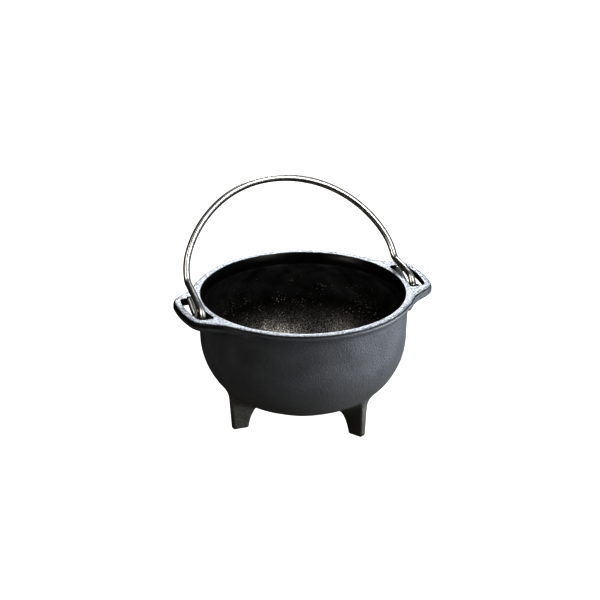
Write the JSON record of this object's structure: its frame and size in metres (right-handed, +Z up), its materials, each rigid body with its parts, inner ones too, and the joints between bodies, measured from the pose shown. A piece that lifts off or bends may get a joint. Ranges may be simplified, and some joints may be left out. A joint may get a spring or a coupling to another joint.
{
  "type": "footed cast iron kettle",
  "caption": "Small round-bottomed cast iron pot on short fin feet, with slotted ears at the rim and a loose arched wire bail.",
  "frame": {"origin": "on the floor under the bowl's axis", "axes": "+X through the middle of an ear, +Y towards the side the bail leans to at rest, +Z up"},
  "size_m": [0.1546, 0.1304, 0.1352],
  "materials": {
    "iron": "seasoned, satin, with a ground rim",
    "wire": "bright drawn wire"
  },
  "bodies": {
    "kettle": {"kettle_casting": "iron"},
    "bail": {"bail_wire": "wire"}
  },
  "joints": [
    {"name": "bail_swing", "type": "hinge", "parent": "kettle", "child": "bail", "pos_m": [0, -0.0038, 0.07325], "axis": [1, 0, 0], "range_deg": [0, 70]}
  ]
}
